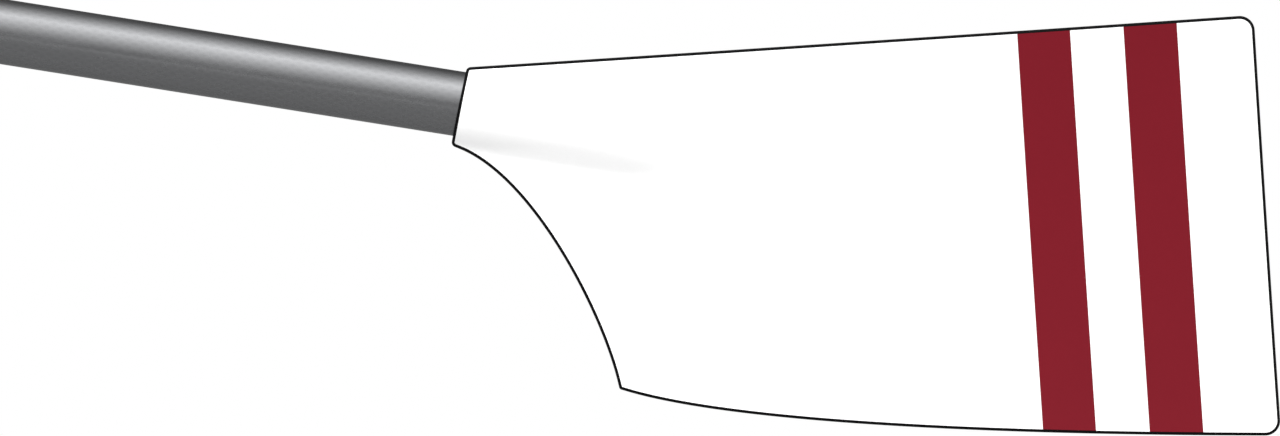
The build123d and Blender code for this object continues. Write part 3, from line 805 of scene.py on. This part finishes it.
# --- The handle and its grips ---
HANDLE_TAIL_X = -263.5
HANDLE_NECK_X = (-522.5, -642.5)
HANDLE_TUBE_END_X = -1141.0
HANDLE_RADIUS = 19.15
HANDLE_GRIP_RADIUS = 16.5
HANDLE_WALL = 1.6
GRIPS_X = {"outer_grip": (-1141.0, -983.0), "inner_grip": (-923.0, -661.0)}
GRIP_RADIUS = 19.1
GRIP_EDGE_RADIUS = 1.8
GRIP_EDGE_STEPS = 6
GRIP_RIM = 9.0
GRIP_RIB_PITCH = 3.4
GRIP_RIB_DEPTH = 0.4
GRIP_GROOVE_SLOPE = 0.35
GRIP_GROOVE_END = 1.0
CAP_END_X = -1145.0
CAP_RADIUS = 18.5
CAP_PLUG_X = -1125.0
CAP_DISH_X = CAP_END_X + 0.7
CAP_DISH_RADII = (11.0, 12.0)
CAP_ROUNDS = {1: 0.4, 2: 0.4, 3: 2.0, 4: 0.5}


def make_handle():
    outside = [(HANDLE_TAIL_X, HANDLE_RADIUS), (HANDLE_NECK_X[0], HANDLE_RADIUS),
               (HANDLE_NECK_X[1], HANDLE_GRIP_RADIUS), (HANDLE_TUBE_END_X, HANDLE_GRIP_RADIUS)]
    bore = [(x, r - HANDLE_WALL) for x, r in reversed(outside)]
    tube = lathe("Handle_tube_finish", outside + bore, CARBON, TUBE_SEGMENTS)
    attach(tube, "handle")
    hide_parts("handle_tube")


def grip_profile(from_x, to_x):
    """A grip's outline: smooth rims, and shallow ribs between them."""
    corners = [(to_x, HANDLE_GRIP_RADIUS), (from_x, HANDLE_GRIP_RADIUS),
               (from_x, GRIP_RADIUS), (to_x, GRIP_RADIUS)]
    outline = round_corners(corners, {2: GRIP_EDGE_RADIUS, 3: GRIP_EDGE_RADIUS}, GRIP_EDGE_STEPS)
    first_rim = 2 + GRIP_EDGE_STEPS + 1
    ribs = []
    count = int((to_x - from_x - 2 * GRIP_RIM) / GRIP_RIB_PITCH)
    first_x = (from_x + to_x - count * GRIP_RIB_PITCH) / 2
    for k in range(count):
        x = first_x + k * GRIP_RIB_PITCH
        low = GRIP_RADIUS - GRIP_RIB_DEPTH
        ribs += [(x, GRIP_RADIUS), (x + GRIP_GROOVE_SLOPE, low)]
        ribs += [(x + GRIP_GROOVE_END, low), (x + GRIP_GROOVE_END + GRIP_GROOVE_SLOPE, GRIP_RADIUS)]
    return outline[:first_rim] + ribs + outline[first_rim:]


def make_grips():
    for node, (from_x, to_x) in GRIPS_X.items():
        grip = lathe(node + "_finish", grip_profile(from_x, to_x), GRIP, GRIP_SEGMENTS)
        smooth_by_angle(grip, RIM_ANGLE)
        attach(grip, "handle")
        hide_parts(node)


def make_end_cap():
    bore = HANDLE_GRIP_RADIUS - HANDLE_WALL
    corners = [(CAP_DISH_X, AXIS_RADIUS), (CAP_DISH_X, CAP_DISH_RADII[0]),
               (CAP_END_X, CAP_DISH_RADII[1]), (CAP_END_X, CAP_RADIUS),
               (HANDLE_TUBE_END_X, CAP_RADIUS), (HANDLE_TUBE_END_X, bore),
               (CAP_PLUG_X, bore), (CAP_PLUG_X, AXIS_RADIUS)]
    cap = lathe("End_cap_finish", round_corners(corners, CAP_ROUNDS), CAP, GRIP_SEGMENTS)
    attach(cap, "handle")
    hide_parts("end_cap")


# --- The sleeve ---
SLEEVE_X = (-120.0, 150.0)
SLEEVE_RADIUS = 29.5
SLEEVE_FLAT = 26.0
SLEEVE_END_TAPER = 16.0
SLEEVE_END_RADIUS = 24.0
SLEEVE_SHOULDERS = {2: 6.0, 3: 6.0}
SLEEVE_SHOULDER_STEPS = 4
SLEEVE_CUT_REACH = 40.0
SLEEVE_BEVEL = 0.3
SLEEVE_BEVEL_ANGLE = 25.0


def make_sleeve():
    """The sleeve: turned, then flatted on two sides, with the plates' pockets cut in."""
    from_x, to_x = SLEEVE_X
    corners = [(from_x, SHAFT_RADIUS), (from_x, SLEEVE_END_RADIUS), (from_x + SLEEVE_END_TAPER, SLEEVE_RADIUS),
               (to_x - SLEEVE_END_TAPER, SLEEVE_RADIUS), (to_x, SLEEVE_END_RADIUS), (to_x, SHAFT_RADIUS)]
    profile = round_corners(corners, SLEEVE_SHOULDERS, SLEEVE_SHOULDER_STEPS)
    sleeve = lathe("Sleeve_finish", profile, SLEEVE, SLEEVE_SEGMENTS)
    start_x, reach = from_x - CUT_RUN_OUT, SLEEVE_CUT_REACH
    end = (to_x + CUT_RUN_OUT, reach, reach)
    cut_box(sleeve, (start_x, SLEEVE_FLAT, -reach), end)
    cut_box(sleeve, (start_x, -reach, SLEEVE_FLAT), end)
    for node in ("wear_plate_squared", "wear_plate_feathered"):
        source = frame["nodes"][node]
        cutter = bpy.data.objects.new("Plate pocket", source.data.copy())
        bpy.context.scene.collection.objects.link(cutter)
        cut_with(sleeve, cutter)
    soften(sleeve, SLEEVE_BEVEL, SLEEVE_BEVEL_ANGLE)
    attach(sleeve, "oar")
    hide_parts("sleeve")


# --- Floor, lights and camera ---
VIEW_WIDTH = 0.7936
LENS = 400.0
SENSOR = 36.0
VIEW_ROLL = 9.0
VIEW_CENTRE = Vector((2.1238, -0.015, -0.0524))
FLOOR_Z = -0.55
FLOOR_RADIUS = 12.0
FLOOR_CENTRE_X = 1.2
FLOOR_RINGS = 6
FLOOR_SPOKES = 96
FLOOR_TONES = (0.365, 0.375)
FLOOR_CLOUD = 3.0
KEY_ELEVATION = math.radians(62.7)
KEY_SPREAD = math.radians(86.0)
KEY_POWER_BELOW = 1.45
KEY_POWER_ABOVE = 2.4
KEY_GLOW = 3.5
SOFT_LEVEL = 0.25
FILL_PLACE = Vector((1.6, -1.9, -0.42))
FILL_SIZE = (3.0, 0.2)
FILL_POWER = 20.0


def make_floor():
    """A plain pale disc under the oar."""
    points = [(0, 0, 0)]
    rings, spokes = FLOOR_RINGS, FLOOR_SPOKES
    for ring in range(1, rings + 1):
        reach = FLOOR_RADIUS * (ring / rings) / MM
        points += [(reach * math.cos(2 * math.pi * k / spokes), reach * math.sin(2 * math.pi * k / spokes), 0)
                   for k in range(spokes)]
    faces = [(0, 1 + k, 1 + (k + 1) % spokes) for k in range(spokes)]
    for ring in range(rings - 1):
        for k in range(spokes):
            n = (k + 1) % spokes
            a, b = 1 + ring * spokes, 1 + (ring + 1) * spokes
            faces.append((a + k, b + k, b + n, a + n))
    low, high = FLOOR_TONES
    m = Nodes("Floor", [(low + high) / 2] * 3, 0.9, specular=0.1)
    tone = m.remap(m.noise(FLOOR_CLOUD, 2.0), *NOISE_MIDDLE, 0.0, 1.0)
    m.colour(m.mix(tone, [low] * 3, [high] * 3))
    floor = mesh_object("Floor", points, faces, m.material)
    floor.location = (FLOOR_CENTRE_X, 0, FLOOR_Z)


def aim(direction):
    """A turn that looks along a direction with the local X axis level."""
    back = -direction.normalized()
    right = Vector((0, 0, 1)).cross(back)
    right = right.normalized() if right.length > 1e-6 else Vector((1, 0, 0))
    up = back.cross(right)
    return Matrix((right, up, back)).transposed().to_4x4()


def fall_off(math_node, off, side):
    """1 at the key's elevation and on its other side, falling to 0 at the key's spread on this side."""
    share = math_node("DIVIDE", math_node("MULTIPLY", off, -side), KEY_SPREAD)
    return math_node("MINIMUM", math_node("MAXIMUM", math_node("ADD", share, 1.0), 0.0), 1.0)


def make_world():
    """Soft light, brightest from high in front; what the camera sees beyond the floor is plain white."""
    world = bpy.data.worlds.new("Studio")
    bpy.context.scene.world = world
    world.use_nodes = True
    tree = world.node_tree

    def math_node(operation, first, second=0.0):
        node = tree.nodes.new("ShaderNodeMath")
        node.operation = operation
        for socket, value in zip(node.inputs, (first, second)):
            if isinstance(value, bpy.types.NodeSocket):
                tree.links.new(value, socket)
            else:
                socket.default_value = value
        return node.outputs[0]

    direction = tree.nodes.new("ShaderNodeTexCoord").outputs["Generated"]
    split = tree.nodes.new("ShaderNodeSeparateXYZ")
    tree.links.new(direction, split.inputs[0])
    elevation = math_node("ARCTAN2", split.outputs["Z"], math_node("MULTIPLY", split.outputs["Y"], -1.0))
    off = math_node("SUBTRACT", elevation, KEY_ELEVATION)
    below = math_node("POWER", fall_off(math_node, off, -1.0), KEY_POWER_BELOW)
    above = math_node("POWER", fall_off(math_node, off, 1.0), KEY_POWER_ABOVE)
    glow = math_node("MULTIPLY", math_node("MINIMUM", below, above), KEY_GLOW)
    soft = tree.nodes["Background"]
    tree.links.new(math_node("ADD", glow, SOFT_LEVEL), soft.inputs["Strength"])
    soft.inputs["Color"].default_value = (1, 1, 1, 1)
    seen = tree.nodes.new("ShaderNodeBackground")
    seen.inputs["Color"].default_value = (1, 1, 1, 1)
    path = tree.nodes.new("ShaderNodeLightPath")
    mix = tree.nodes.new("ShaderNodeMixShader")
    tree.links.new(path.outputs["Is Camera Ray"], mix.inputs[0])
    tree.links.new(soft.outputs[0], mix.inputs[1])
    tree.links.new(seen.outputs[0], mix.inputs[2])
    tree.links.new(mix.outputs[0], tree.nodes["World Output"].inputs["Surface"])


def make_fill():
    """A broad light from low in front, which lifts the underside of the neck but puts no streak in the gloss."""
    light = bpy.data.lights.new("Fill", "AREA")
    light.shape = "RECTANGLE"
    light.size, light.size_y = FILL_SIZE
    light.energy = FILL_POWER
    lamp = bpy.data.objects.new("Fill", light)
    bpy.context.scene.collection.objects.link(lamp)
    lamp.matrix_world = Matrix.Translation(FILL_PLACE) @ aim(VIEW_CENTRE - FILL_PLACE)
    lamp.visible_camera = False
    lamp.visible_glossy = False


def make_camera():
    data = bpy.data.cameras.new("Camera")
    data.lens = LENS
    data.sensor_width = SENSOR
    data.clip_start, data.clip_end = 0.1, 100.0
    camera = bpy.data.objects.new("Camera", data)
    bpy.context.scene.collection.objects.link(camera)
    distance = VIEW_WIDTH * LENS / SENSOR
    turn = aim(Vector((0, 1, 0))) @ Matrix.Rotation(math.radians(VIEW_ROLL), 4, "Z")
    camera.matrix_world = Matrix.Translation(VIEW_CENTRE + Vector((0, -distance, 0))) @ turn
    bpy.context.scene.camera = camera


def make_rest():
    """The CAD shapes that are right as they are: softened copies where they show, and plugs kept as they come."""
    finishes = {
        "wear_plate_squared": (PLATE, "wear_plastic"),
        "wear_plate_feathered": (PLATE, "wear_plastic"),
        "button": (BUTTON, "button_plastic"),
        "button_screw": (STEEL, "screw_steel"),
        "button_washer": (STEEL, "screw_steel"),
        "button_nut": (STEEL, "screw_steel"),
        "clamp_ring": (CLAMP, "clamp_aluminium"),
        "clamp_screw": (STEEL, "screw_steel"),
        "clamp_washer": (STEEL, "screw_steel"),
        "clamp_nut": (STEEL, "screw_steel"),
        "handle_bush": (BUSH, "black_plastic"),
        "tail_ring": (BUSH, "black_plastic"),
        "tail_o_ring": (CAP, "rubber"),
    }
    for node, (material, slot) in finishes.items():
        piece = refined(node, material)
    for node, material in (("shaft_end_plug", FOAM), ("tail_plug", BUSH)):
        for slot in frame["nodes"][node].material_slots:
            slot.material = material


make_camera()
make_floor()
make_world()
make_fill()
make_blade()
make_shaft()
make_handle()
make_grips()
make_end_cap()
make_sleeve()
make_rest()

bpy.context.scene.view_settings.view_transform = "Standard"
